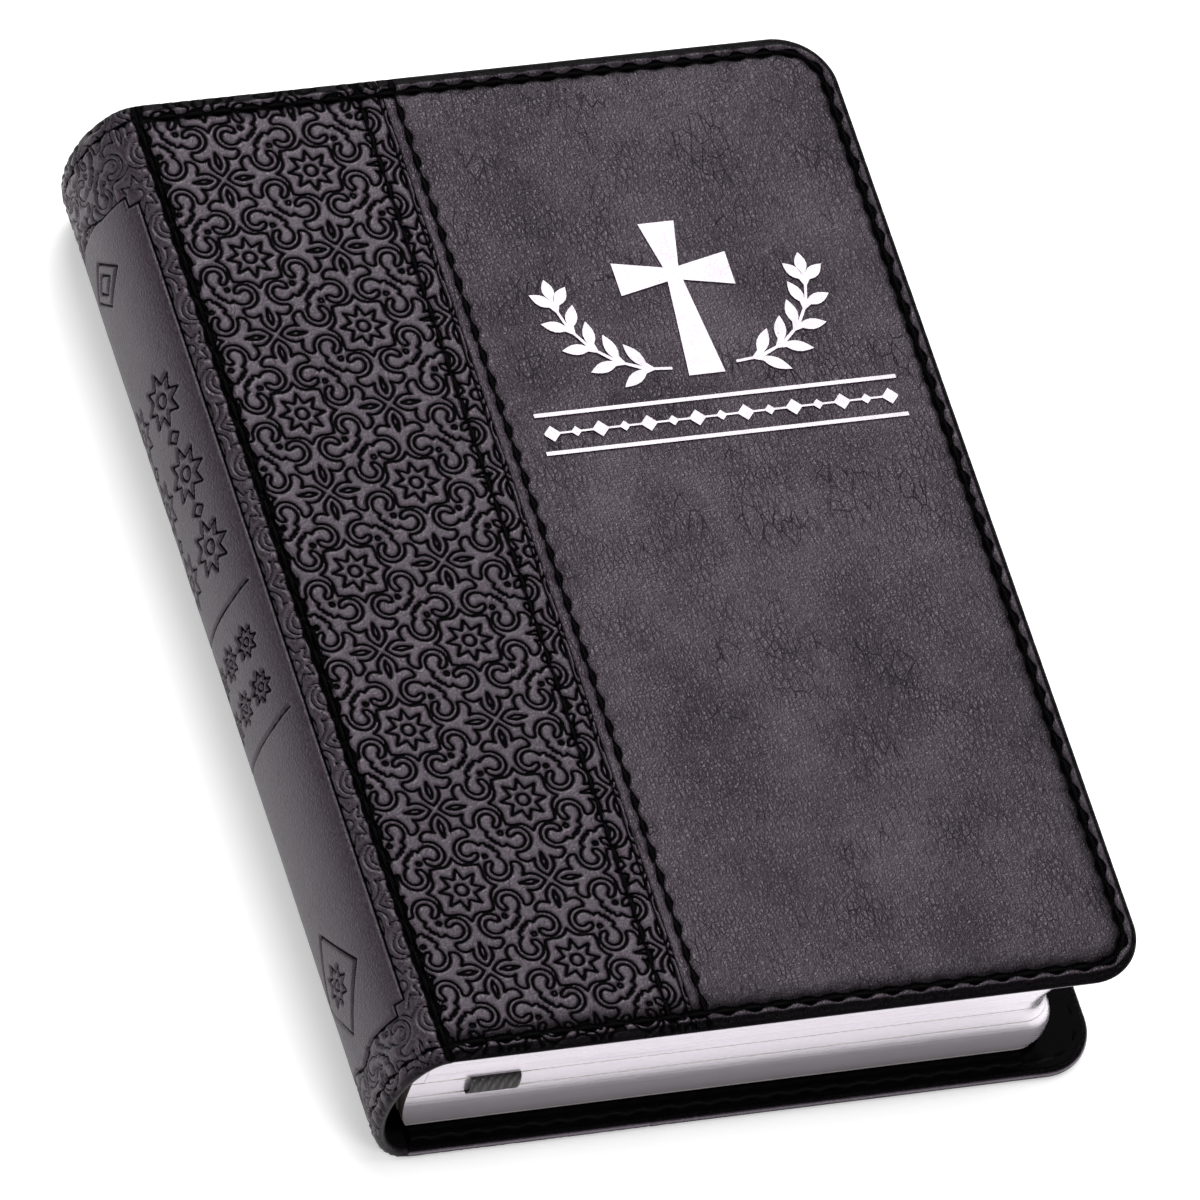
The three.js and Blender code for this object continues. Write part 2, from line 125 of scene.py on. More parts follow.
def make_piece(name, points, face_sets, materials, up=True, shade=40, attributes=None, slots=None):
    """A mesh object from points in millimetres and arrays of faces with one size each.

    Every piece is closed, so its faces are turned to look outward at the end.
    """
    mesh = bpy.data.meshes.new(name)
    co = to_frame(points, up).astype(np.float32)
    mesh.vertices.add(len(co))
    mesh.vertices.foreach_set("co", co.ravel())
    sets = [np.asarray(f) for f in face_sets]
    totals = np.concatenate([np.full(len(f), f.shape[1]) for f in sets])
    loops = np.concatenate([f.ravel() for f in sets])
    mesh.loops.add(len(loops))
    mesh.loops.foreach_set("vertex_index", loops.astype(np.int32))
    mesh.polygons.add(len(totals))
    starts = np.concatenate([[0], np.cumsum(totals)[:-1]])
    mesh.polygons.foreach_set("loop_start", starts.astype(np.int32))
    mesh.polygons.foreach_set("loop_total", totals.astype(np.int32))
    if slots is not None:
        index = np.concatenate([np.full(len(f), s) for f, s in zip(sets, slots)])
        mesh.polygons.foreach_set("material_index", index.astype(np.int32))
    mesh.update(calc_edges=True)
    mesh.validate()
    solid = bmesh.new()
    solid.from_mesh(mesh)
    bmesh.ops.recalc_face_normals(solid, faces=solid.faces)
    solid.to_mesh(mesh)
    solid.free()
    mesh.shade_smooth()
    if shade < 180:
        mesh.set_sharp_from_angle(angle=math.radians(shade))
    for key, values in (attributes or {}).items():
        layer = mesh.attributes.new(key, "FLOAT", "POINT")
        layer.data.foreach_set("value", np.asarray(values, np.float32))
    for material in materials:
        mesh.materials.append(material)
    piece = bpy.data.objects.new(name, mesh)
    bpy.context.scene.collection.objects.link(piece)
    return piece


def grid_faces(rows, columns, start=0):
    """Quads over a grid of points stored row by row."""
    index = start + np.arange(rows * columns).reshape(rows, columns)
    corners = index[:-1, :-1], index[:-1, 1:], index[1:, 1:], index[1:, :-1]
    return np.stack(corners, -1).reshape(-1, 4)


def ring_faces(rings, count, start=0):
    """Quads between closed rings of points, one ring after another."""
    index = start + np.arange(rings * count).reshape(rings, count)
    turned = np.roll(index, -1, axis=1)
    return np.stack([index[:-1], turned[:-1], turned[1:], index[1:]], -1).reshape(-1, 4)


def side_faces(outline, next_outline):
    """Quads between two closed outlines with the same number of points."""
    return np.stack([outline, np.roll(outline, -1), np.roll(next_outline, -1), next_outline], -1)


def grid_outline(rows, columns):
    """The points round the edge of a grid, in order."""
    index = np.arange(rows * columns).reshape(rows, columns)
    return np.concatenate([index[0, :-1], index[:-1, -1], index[-1, :0:-1], index[:0:-1, 0]])


def ladder_faces(half):
    """Quads across a closed outline whose second half of points runs back beside the first."""
    step = np.arange(half - 1)
    return np.stack([step, step + 1, 2 * half - 2 - step, 2 * half - 1 - step], -1)


def fitted_grid(xs, ys, ends):
    """Rows of points that start together and are stretched to end where each is told to."""
    share = (xs - xs[0]) / (xs[-1] - xs[0])
    return xs[0] + share * (ends[:, None] - xs[0]), np.repeat(ys[:, None], len(xs), 1)


def smooth_step(low, high, value):
    t = np.clip((value - low) / (high - low), 0, 1)
    return t * t * (3 - 2 * t)


def soft_noise(x, y, size, seed):
    """Smooth random heights between -1 and 1, with hills about this many millimetres wide."""
    table = np.random.default_rng(seed).uniform(-1, 1, (64, 64))
    u, v = np.asarray(x) / size, np.asarray(y) / size
    iu, iv = np.floor(u).astype(int), np.floor(v).astype(int)
    fu, fv = u - iu, v - iv
    fu, fv = fu * fu * (3 - 2 * fu), fv * fv * (3 - 2 * fv)
    a = table[iu % 64, iv % 64]
    b = table[(iu + 1) % 64, iv % 64]
    c = table[iu % 64, (iv + 1) % 64]
    d = table[(iu + 1) % 64, (iv + 1) % 64]
    return (a * (1 - fu) + b * fu) * (1 - fv) + (c * (1 - fu) + d * fu) * fv


# ----------------------------------------
# Materials
# ----------------------------------------
class Nodes:
    """Short ways to add nodes to one material."""

    def __init__(self, name):
        self.material = bpy.data.materials.new(name)
        self.material.use_nodes = True
        self.tree = self.material.node_tree
        self.tree.nodes.clear()
        self.output = self.tree.nodes.new("ShaderNodeOutputMaterial")
        self.shader = self.tree.nodes.new("ShaderNodeBsdfPrincipled")
        self.link(self.shader.outputs[0], self.output.inputs["Surface"])
        self.place = self.tree.nodes.new("ShaderNodeTexCoord").outputs["Object"]

    def link(self, source, target):
        self.tree.links.new(source, target)

    def set(self, **values):
        for key, value in values.items():
            self.shader.inputs[key.replace("_", " ")].default_value = value

    def scaled(self, x, y, z, turn=(0, 0, 0), source=None):
        mapping = self.tree.nodes.new("ShaderNodeMapping")
        mapping.inputs["Scale"].default_value = (x, y, z)
        mapping.inputs["Rotation"].default_value = turn
        self.link(source or self.place, mapping.inputs["Vector"])
        return mapping.outputs[0]

    def warped(self, amount, scale):
        """The surface's place, pushed about by smooth noise, so that lines drawn with it wander."""
        noise = self.tree.nodes.new("ShaderNodeTexNoise")
        noise.inputs["Scale"].default_value = scale
        noise.inputs["Detail"].default_value = 3.0
        self.link(self.place, noise.inputs["Vector"])
        push = self.tree.nodes.new("ShaderNodeVectorMath")
        push.operation = "MULTIPLY_ADD"
        push.inputs[1].default_value = (amount, amount, amount)
        self.link(noise.outputs["Color"], push.inputs[0])
        self.link(self.place, push.inputs[2])
        return push.outputs[0]

    def noise(self, scale, detail=4.0, rough=0.55, vector=None):
        node = self.tree.nodes.new("ShaderNodeTexNoise")
        node.inputs["Scale"].default_value = scale
        node.inputs["Detail"].default_value = detail
        node.inputs["Roughness"].default_value = rough
        self.link(vector or self.place, node.inputs["Vector"])
        return node.outputs["Fac"]

    def cells(self, scale, vector):
        """How far it is to the edge of the nearest irregular cell."""
        node = self.tree.nodes.new("ShaderNodeTexVoronoi")
        node.feature = "DISTANCE_TO_EDGE"
        node.inputs["Scale"].default_value = scale
        self.link(vector, node.inputs["Vector"])
        return node.outputs["Distance"]

    def wave(self, scale, distortion, direction="X", turn=0.0):
        node = self.tree.nodes.new("ShaderNodeTexWave")
        node.bands_direction = direction
        node.inputs["Scale"].default_value = scale
        node.inputs["Distortion"].default_value = distortion
        self.link(self.scaled(1, 1, 1, (0, 0, turn)), node.inputs["Vector"])
        return node.outputs["Fac"]

    def attribute(self, name):
        node = self.tree.nodes.new("ShaderNodeAttribute")
        node.attribute_name = name
        return node.outputs["Fac"]

    def math(self, operation, first, second=None):
        node = self.tree.nodes.new("ShaderNodeMath")
        node.operation = operation
        for socket, value in zip(node.inputs, (first, second)):
            if value is None:
                continue
            if isinstance(value, (int, float)):
                socket.default_value = value
            else:
                self.link(value, socket)
        return node.outputs[0]

    def spread(self, value, low, high, to_low, to_high, kind="LINEAR"):
        node = self.tree.nodes.new("ShaderNodeMapRange")
        node.interpolation_type = kind
        ends = {"From Min": low, "From Max": high, "To Min": to_low, "To Max": to_high}
        for key, number in ends.items():
            node.inputs[key].default_value = number
        self.link(value, node.inputs["Value"])
        return node.outputs[0]

    def ramp(self, value, *stops):
        node = self.tree.nodes.new("ShaderNodeValToRGB")
        while len(node.color_ramp.elements) < len(stops):
            node.color_ramp.elements.new(0.5)
        for element, (position, colour) in zip(node.color_ramp.elements, stops):
            element.position = position
            element.color = (*colour, 1.0)
        self.link(value, node.inputs["Fac"])
        return node.outputs["Color"]

    def mix(self, factor, first, second):
        node = self.tree.nodes.new("ShaderNodeMix")
        node.data_type = "RGBA"
        self.link(factor, node.inputs["Factor"])
        for socket, value in ((node.inputs[6], first), (node.inputs[7], second)):
            if isinstance(value, tuple):
                socket.default_value = (*value, 1.0)
            else:
                self.link(value, socket)
        return node.outputs[2]

    def bump(self, height, distance, strength=1.0, below=None):
        node = self.tree.nodes.new("ShaderNodeBump")
        node.inputs["Distance"].default_value = distance
        node.inputs["Strength"].default_value = strength
        self.link(height, node.inputs["Height"])
        if below is not None:
            self.link(below, node.inputs["Normal"])
        return node.outputs[0]

    def finish(self, colour=None, rough=None, normal=None):
        if colour is not None:
            self.link(colour, self.shader.inputs["Base Color"])
        if rough is not None:
            self.link(rough, self.shader.inputs["Roughness"])
        if normal is not None:
            self.link(normal, self.shader.inputs["Normal"])
        return self.material


def leather(name, crease):
    """Imitation leather: fine grain and thin cracked creases; black and dull in the pressed grooves and
    stitch troughs, partly their own darker tone and partly painted shade; painted shade at the rims and a
    painted highlight line under them.
    """
    n = Nodes(name)
    n.shader.inputs["Specular Tint"].default_value = (1.0, 0.87, 1.0, 1.0)
    wander = n.warped(0.0004, 900)

    def cracks(scale, stretch, turn, width, strength, patches, low, high):
        cells = n.cells(scale, n.scaled(1.0, stretch, 1.0, (0, 0, turn), wander))
        where = n.spread(n.noise(patches, 3.0, 0.55), low, high, 0.0, 1.0)
        return n.math("MULTIPLY", n.spread(cells, 0.2 * width, width, strength, 0.0), where)

    fine = cracks(2000, 0.6, 0.15, 0.20, 0.6, 60, 0.10, 0.65)
    web = cracks(1250, 0.5, 0.35, 0.12, 0.8, 90, 0.24, 0.74)
    long_web = cracks(640, 0.42, -0.25, 0.045, 0.85, 110, 0.42, 0.64)
    creases = n.math("MULTIPLY", n.math("MAXIMUM", fine, n.math("MAXIMUM", web, long_web)), crease)
    grain = n.noise(3300, 2.0, 0.5)
    shades = (0.3, (0.0155, 0.0098, 0.0155)), (0.7, (0.0185, 0.0120, 0.0185))
    tone = n.ramp(n.noise(45, 5.0, 0.6), *shades)
    pitted = n.mix(n.spread(grain, 0.34, 0.44, 0.6, 0.0), tone, (0.002, 0.0015, 0.002))
    creased = n.mix(creases, pitted, (0.0005, 0.0004, 0.0005))
    painted_shading = n.attribute("painted_shading")
    # Painted shade: the colour goes near black at the rolled rims and inside the edge row.
    rolled = n.mix(n.spread(painted_shading, 0.0, 1.0, 0.0, 1.0), creased, (0.0006, 0.0005, 0.0006))
    # Painted highlight: a pale line on the underside of the rolled edge, where the shading value is
    # negative.
    edge_highlighted = n.mix(n.spread(painted_shading, -0.2, -0.9, 0.0, 1.0), rolled, (0.30, 0.255, 0.31))
    # Black in the grooves and stitch troughs: partly the grooves' own darker tone, partly painted shade.
    groove_tone_and_shade = n.spread(n.attribute("groove_tone_and_shade"), -0.05, 0.05, 1.0, 0.0, "SMOOTHSTEP")
    colour = n.mix(groove_tone_and_shade, edge_highlighted, (0.0003, 0.0003, 0.0003))
    # Sheen is taken away in the creases and, as painted shade, at the rims.
    creases_and_shade = n.math("MAXIMUM", n.math("MULTIPLY", creases, 0.9), n.math("MULTIPLY", painted_shading, 0.94))
    dull = n.math("MAXIMUM", groove_tone_and_shade, creases_and_shade)
    n.link(n.spread(dull, 0.0, 1.0, 0.48, 0.01), n.shader.inputs["Specular IOR Level"])
    rough = n.spread(grain, 0.3, 0.7, 0.28, 0.42)
    height = n.math("SUBTRACT", n.math("MULTIPLY", grain, 0.5), n.math("MULTIPLY", creases, 0.6))
    skin = n.bump(height, 0.00018, 1.0)
    lips = n.spread(n.attribute("groove_tone_and_shade"), -0.12, 0.16, 0.0, 1.0, "SMOOTHSTEP")
    return n.finish(colour, rough, n.bump(lips, 0.00012, 0.6, skin))


def lining_skin():
    n = Nodes("lining_skin")
    n.set(Specular_IOR_Level=0.015)
    fine = n.noise(2600, 3.0, 0.6)
    colour = n.ramp(n.noise(90, 4.0), (0.3, (0.0004, 0.0003, 0.0004)), (0.75, (0.0010, 0.0009, 0.0010)))
    rough = n.spread(fine, 0.3, 0.7, 0.18, 0.28)
    return n.finish(colour, rough, n.bump(fine, 0.00004, 0.5))


def gilt():
    """Silvered leaf edges: burnished metal over hundreds of thin leaves."""
    n = Nodes("gilt_edge")
    n.set(Metallic=0.66)
    leaf_lines = n.noise(1.0, 2.0, 0.5, n.scaled(40, 40, 7000))
    broad_lines = n.noise(1.0, 3.0, 0.6, n.scaled(18, 18, 900))
    speckle = n.noise(2400, 4.0, 0.7, n.scaled(1, 1, 1.6))
    mixed = n.math("ADD", n.math("MULTIPLY", leaf_lines, 0.6), n.math("MULTIPLY", broad_lines, 0.4))
    shades = (0.22, (0.52, 0.47, 0.53)), (0.42, (0.74, 0.685, 0.75)), (0.75, (0.79, 0.735, 0.80))
    colour = n.ramp(mixed, *shades)
    rough = n.spread(speckle, 0.3, 0.7, 0.07, 0.14)
    lines = n.bump(mixed, 0.000006, 0.5)
    return n.finish(colour, rough, n.bump(speckle, 0.00003, 0.6, lines))


def paper(name, low, high):
    n = Nodes(name)
    n.set(Specular_IOR_Level=0.25)
    fibres = n.noise(1800, 6.0, 0.7)
    colour = n.ramp(n.noise(60, 5.0, 0.65), (0.3, low), (0.7, high))
    rough = n.spread(fibres, 0.3, 0.7, 0.75, 0.92)
    return n.finish(colour, rough, n.bump(fibres, 0.00002, 0.5))


def card():
    n = Nodes("grey_card")
    fibres = n.noise(1500, 6.0, 0.7)
    colour = n.ramp(fibres, (0.3, (0.17, 0.15, 0.13)), (0.7, (0.30, 0.27, 0.23)))
    return n.finish(colour, n.spread(fibres, 0.3, 0.7, 0.8, 0.95), n.bump(fibres, 0.00004, 0.6))


def gauze():
    n = Nodes("gauze")
    along = n.wave(420, 0.6, "Y")
    across = n.wave(420, 0.6, "Z")
    weave = n.math("MAXIMUM", along, across)
    colour = n.ramp(weave, (0.25, (0.10, 0.09, 0.075)), (0.8, (0.30, 0.28, 0.24)))
    return n.finish(colour, n.spread(weave, 0, 1, 0.95, 0.8), n.bump(weave, 0.00008, 0.8))


def twill():
    """A black ribbon in a diagonal weave with a trace of red in it."""
    n = Nodes("ribbon_twill")
    n.set(Specular_IOR_Level=0.55, Sheen_Weight=0.3, Sheen_Roughness=0.35)
    ribs = n.wave(430, 0.4, turn=math.radians(52))
    picks = n.wave(640, 0.4, turn=math.radians(-38))
    weave = n.math("MULTIPLY", n.spread(ribs, 0.15, 0.8, 0.1, 1.0), n.spread(picks, 0.1, 0.6, 0.45, 1.0))
    shades = (0.1, (0.0012, 0.0008, 0.001)), (0.6, (0.006, 0.0035, 0.004)), (0.95, (0.020, 0.011, 0.012))
    colour = n.ramp(weave, *shades)
    return n.finish(colour, n.spread(weave, 0, 1, 0.7, 0.38), n.bump(weave, 0.00012, 1.0))


def sewing_thread():
    n = Nodes("sewing_thread")
    n.set(Specular_IOR_Level=0.02)
    strands = n.wave(900, 1.0, turn=0.6)
    colour = n.ramp(strands, (0.2, (0.0004, 0.0004, 0.0004)), (0.9, (0.0022, 0.002, 0.0024)))
    return n.finish(colour, n.spread(strands, 0, 1, 0.75, 0.5), n.bump(strands, 0.00006, 0.8))


def silver_foil():
    n = Nodes("silver_foil")
    n.set(Metallic=1.0)
    grain = n.noise(2600, 5.0, 0.65)
    rubbed = n.noise(320, 5.0, 0.6)
    flecks = n.spread(n.noise(3800, 2.0, 0.5), 0.68, 0.74, 0.0, 0.75)
    bright = n.ramp(rubbed, (0.3, (0.36, 0.325, 0.36)), (0.7, (0.46, 0.42, 0.46)))
    colour = n.mix(flecks, bright, (0.10, 0.085, 0.10))
    rough = n.spread(grain, 0.3, 0.7, 0.22, 0.42)
    return n.finish(colour, rough, n.bump(grain, 0.00005, 0.5))


def floor_paint():
    n = Nodes("studio_floor")
    n.set(Specular_IOR_Level=0.2, Emission_Color=(1.0, 1.0, 1.0, 1.0), Emission_Strength=0.3)
    speckle = n.noise(40, 3.0, 0.5)
    colour = n.ramp(speckle, (0.3, (0.88, 0.88, 0.88)), (0.7, (0.90, 0.90, 0.90)))
    return n.finish(colour, n.spread(speckle, 0.3, 0.7, 0.55, 0.6))


TOOLED = leather("tooled_leather", 0.35)
PLAIN = leather("plain_leather", 1.0)
LINING = lining_skin()
GILT = gilt()
LEAF = paper("leaf_paper", (0.72, 0.70, 0.64), (0.80, 0.78, 0.72))
ENDPAPER = paper("endpaper", (0.70, 0.66, 0.58), (0.78, 0.74, 0.66))
CARD = card()
GAUZE = gauze()
TWILL = twill()
THREAD = sewing_thread()
FOIL = silver_foil()


# ----------------------------------------
# The pressed pattern: an all-over repeat of stars, four-petalled flowers, buds and scrolls
# ----------------------------------------
def fold_to_cell(x, y):
    """Any point to its like in one eighth of the repeat, by the pattern's mirror lines."""
    a = PATTERN
    x = np.abs((np.asarray(x) + a) % (2 * a) - a)
    y = np.abs((np.asarray(y) + a) % (2 * a) - a)
    beyond = x + y > a
    x, y = np.where(beyond, a - y, x), np.where(beyond, a - x, y)
    return np.maximum(x, y), np.minimum(x, y)


def arc(cx, cy, radius, start, end, steps=24):
    angle = np.radians(np.linspace(start, end, steps))
    return np.stack([cx + radius * np.cos(angle), cy + radius * np.sin(angle)], -1)


def spiral(cx, cy, inner, outer, start, end, steps=70):
    angle = np.radians(np.linspace(start, end, steps))
    radius = np.linspace(inner, outer, steps)
    return np.stack([cx + radius * np.cos(angle), cy + radius * np.sin(angle)], -1)


def curve_through(points, steps=10):
    """A smooth curve through a few points."""
    p = np.array([points[0], *points, points[-1]], float)
    t = np.linspace(0, 1, steps, endpoint=False)[:, None]
    parts = []
    for a, b, c, d in zip(p[:-3], p[1:-2], p[2:-1], p[3:]):
        bend, twist = 2 * a - 5 * b + 4 * c - d, 3 * b - a - 3 * c + d
        parts.append(b + (c - a) * t / 2 + bend * t**2 / 2 + twist * t**3 / 2)
    return np.concatenate([*parts, p[-1:]])


def pattern_curves():
    """The grooves, in millimetres from a star's middle towards a flower, which is one PATTERN away."""
    a = PATTERN
    ray, valley, eye = 3.15, 1.72, 0.85
    star = [(ray * math.cos(t), ray * math.sin(t)) for t in (0, math.pi / 4)]
    dip = (valley * math.cos(math.pi / 8), valley * math.sin(math.pi / 8))
    frame_line = [(4.85, 0.0), (4.05, 0.62), (3.62, 1.5), (3.62, 2.5), (3.45, 3.45)]
    outer = spiral(5.6, 2.62, 2.22, 1.42, 12, -232)
    inner = spiral(5.6, 2.62, 0.62, 1.8, -190, 66)
    hook = curve_through([outer[-1], (5.22, 3.72), (5.28, 3.25), inner[0]])
    bud = [inner[-1], (6.62, 4.62), (6.55, 5.12), (6.05, 5.3), (6.15, 5.72), (5.72, 5.72)]
    leaf = [outer[0], (8.15, 3.35), (8.85, 3.1), (9.28, 2.4), (9.2, 1.65), (8.95, 1.12)]
    petal = [(8.95, 1.12), (9.6, 1.28), (10.4, 1.18), (11.15, 0.72), (a - 0.62, 0.0)]
    vein = [(8.1, 0.0), (8.9, 0.22), (9.8, 0.32), (10.8, 0.0)]
    return [
        np.array([star[0], dip, star[1]]),
        arc(0, 0, eye, 0, 45, 8),
        curve_through(frame_line),
        outer,
        hook,
        inner,
        curve_through(bud),
        curve_through(leaf),
        curve_through(petal),
        curve_through(vein),
        arc(4.62, 4.62, 0.3, 225, 405, 12),
    ]


def line_distance(x, y, curves):
    """How far each point is from the nearest of the curves, in millimetres."""
    starts = np.concatenate([c[:-1] for c in curves])
    ends = np.concatenate([c[1:] for c in curves])
    best = np.full(x.size, 1e9)
    px, py = x.ravel(), y.ravel()
    for (ax, ay), (bx, by) in zip(starts, ends):
        dx, dy = bx - ax, by - ay
        length = dx * dx + dy * dy + 1e-12
        t = np.clip(((px - ax) * dx + (py - ay) * dy) / length, 0, 1)
        np.minimum(best, (px - ax - t * dx) ** 2 + (py - ay - t * dy) ** 2, out=best)
    return np.sqrt(best).reshape(x.shape)


def folded(curves):
    return [np.stack(fold_to_cell(c[:, 0], c[:, 1]), -1) for c in curves]


PATTERN_CURVES = folded(pattern_curves())


def pattern_distance(x, y):
    fx, fy = fold_to_cell(x - STAR_X, y - STAR_Y)
    return line_distance(fx, fy, PATTERN_CURVES)


# ----------------------------------------
# Sewing: where a row pulls the leather in, and the single stitches that lie in it
# ----------------------------------------
def straight_row(x, y, row_x):
    """Distance across a straight row and distance along it."""
    return x - row_x, y + HALF


SEAM_CORNER = 5.6
SEAM_X = WIDTH - FORE_INSET - SEAM_CORNER
SEAM_Y = HALF - EDGE_INSET - SEAM_CORNER
SEAM_BEND = SEAM_CORNER * math.pi / 2


def edge_row(x, y):
    """Distance outward from the row that runs round the head, fore edge and tail, and along it."""
    qx, qy = x - SEAM_X, np.abs(y) - SEAM_Y
    corner = (qx > 0) & (qy > 0)
    across = np.where(corner, np.hypot(qx, qy), np.maximum(qx, qy)) - SEAM_CORNER
    turn = np.arctan2(np.maximum(qx, 0), np.maximum(qy, 1e-9))
    along = np.where(corner, SEAM_X + SEAM_CORNER * turn, np.where(qy >= qx, x, SEAM_X + SEAM_BEND - qy))
    return across, along


def pucker(across, along, narrow=0.24, wide=0.6, depth=0.42):
    """Leather drawn in along a row of stitches: its height, and how far it is from the black trough, which
    is painted shade.
    """
    phase = 2 * math.pi * along / STITCH
    beat = 0.5 + 0.5 * np.cos(phase)
    offset = across - 0.12 * np.sin(phase + 0.9) - 0.03 * np.sin(2.7 * phase)
    half = narrow + (wide - narrow) * beat**1.4
    groove_tone_and_shade = np.abs(offset) - half
    trough = np.exp(-((offset / (half + 0.12)) ** 2))
    swell = np.exp(-((np.abs(offset) - half - 0.42) ** 2) / 0.10)
    height = -depth * (0.75 + 0.25 * beat) * trough + 0.07 * swell * (1 - 0.75 * beat)
    return height, groove_tone_and_shade


def stitch_shape(length, radius):
    """One stitch: a rounded rod along x that dips at both ends."""
    rings, sides = 7, 6
    points = []
    for t in np.linspace(-1, 1, rings):
        shrink = math.sqrt(max(1 - (abs(t) ** 3), 0.02))
        dip = -0.18 * t * t
        for angle in np.linspace(0, 2 * math.pi, sides, endpoint=False):
            points.append((
                t * length / 2,
                radius * shrink * math.cos(angle),
                radius * 0.75 * shrink * math.sin(angle) + dip,
            ))
    caps = np.array([np.arange(sides), np.arange((rings - 1) * sides, rings * sides)])
    return np.array(points), ring_faces(rings, sides), caps


def row_of_stitches(row, side, path, blended=False):
    """Stitches along a path of (x, y, heading), each lying in its pucker, seen outside and inside."""
    shape, faces, caps = stitch_shape(STITCH * 0.74, 0.27)
    points, quads, ends = [], [], []
    for x, y, heading in path:
        c, s = math.cos(heading), math.sin(heading)
        turned = np.stack([
            x + shape[:, 0] * c - shape[:, 1] * s,
            y + shape[:, 0] * s + shape[:, 1] * c,
            shape[:, 2],
        ], -1)
        for level, flip in ((THICK - 0.30, 1), (THICK - SKIN - 0.02, -1)):
            placed = turned.copy()
            placed[:, 2] = level + flip * placed[:, 2]
            start = len(points) * len(shape)
            quads.append(faces + start)
            ends.append(caps + start)
            points.append(placed)
    sets = [np.concatenate(quads), np.concatenate(ends)]
    piece = make_piece(f"{row}_stitches", np.concatenate(points), sets, [THREAD], SIDES[side]["up"])
    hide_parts(f"{row}_thread")
    if blended:
        blend_at_joint(piece)
    else:
        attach(piece, SIDES[side]["body"])


def straight_path(row_x):
    count = int((2 * HALF - 2 * EDGE_INSET) / STITCH)
    first = math.ceil((EDGE_INSET + 0.4) / STITCH)
    return [(row_x, (first + i) * STITCH - HALF, math.pi / 2) for i in range(count)
            if (first + i) * STITCH < 2 * HALF - EDGE_INSET - 1]


def edge_path():
    """Stitch places round three edges, at every whole step along the row."""
    places = []
    step = 1
    while step * STITCH < SEAM_X + SEAM_BEND + SEAM_Y:
        along = step * STITCH
        if along < SEAM_X:
            x, y, heading = along, SEAM_Y + SEAM_CORNER, 0.0
        elif along < SEAM_X + SEAM_BEND:
            turn = (along - SEAM_X) / SEAM_CORNER
            x = SEAM_X + SEAM_CORNER * math.sin(turn)
            y, heading = SEAM_Y + SEAM_CORNER * math.cos(turn), -turn
        else:
            x, y, heading = SEAM_X + SEAM_CORNER, SEAM_Y - (along - SEAM_X - SEAM_BEND), -math.pi / 2
        places += [(x, y, heading), (x, -y, -heading)]
        step += 1
    return places


# ----------------------------------------
# Covers
# ----------------------------------------
def blend_at_joint(piece):
    """Bakes the piece's placement into its points; nothing bends at the joint here."""
    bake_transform(piece)


ROWS = {
    "joint": (JOINT_ROW, 0.62, 0.98, 0.55),
    "inner": (INNER_ROW, 0.22, 0.42, 0.36),
    "outer": (OUTER_ROW, 0.22, 0.56, 0.42),
}


def cover_relief(x, y):
    """Height of the cover's face, how far it is from the black of grooves and stitch troughs (darker tone
    and painted shade), and how much painted shade it gets at the rim and inside the edge row.
    """
    across, along = edge_row(x, y)
    height, groove_tone_and_shade = pucker(across + 0.08, along, 0.34, 0.80)
    for row_x, narrow, wide, depth in ROWS.values():
        drawn, row_tone_and_shade = pucker(*straight_row(x, y, row_x), narrow, wide, depth)
        height += drawn
        groove_tone_and_shade = np.minimum(groove_tone_and_shade, row_tone_and_shade)
    phase = 2 * math.pi * along / STITCH
    height += 0.12 * np.exp(-(((across - 0.80) / 0.26) ** 2)) * (0.65 - 0.35 * np.cos(phase))
    height -= 0.34 * smooth_step(0.9, 2.2, across) + 0.07 * smooth_step(-4.5, -0.6, across)
    # Painted shade: the leather beyond the edge row goes dark as it rolls down.
    painted_shading = smooth_step(0.86, 1.10, across)
    # Painted shade inside the edge row, wider towards the tail, with a ragged inner edge.
    reach = 1.5 + 2.0 * smooth_step(20.0, -70.0, y) + 0.6 * soft_noise(x + 40, y + 90, 1.3, 8)
    painted_shading = np.maximum(painted_shading, 0.85 * smooth_step(-1.0, 0.0, (across + 0.5) / reach) * (across < 0.35))
    height += 0.035 * (soft_noise(x + 40, y + 90, 9.0, 5) - 1)
    height += 0.018 * (soft_noise(x + 40, y + 90, 2.6, 6) - 1)
    return np.maximum(height, DEEPEST), groove_tone_and_shade, painted_shading


def strip_relief(x, y):
    height, groove_tone_and_shade, painted_shading = cover_relief(x, y)
    distance = pattern_distance(x, y) - GROOVE_HALF
    height -= GROOVE_DEPTH * smooth_step(0.16, -0.16, distance)
    # The pattern grooves are painted black: partly their own darker tone, partly painted shade.
    groove_tone_and_shade = np.minimum(groove_tone_and_shade, distance)
    rule = np.abs(x - STRIP_RULE) - 0.16
    height -= GROOVE_DEPTH * smooth_step(0.16, -0.12, rule)
    groove_tone_and_shade = np.minimum(groove_tone_and_shade, rule)
    return np.maximum(height, DEEPEST), groove_tone_and_shade, painted_shading


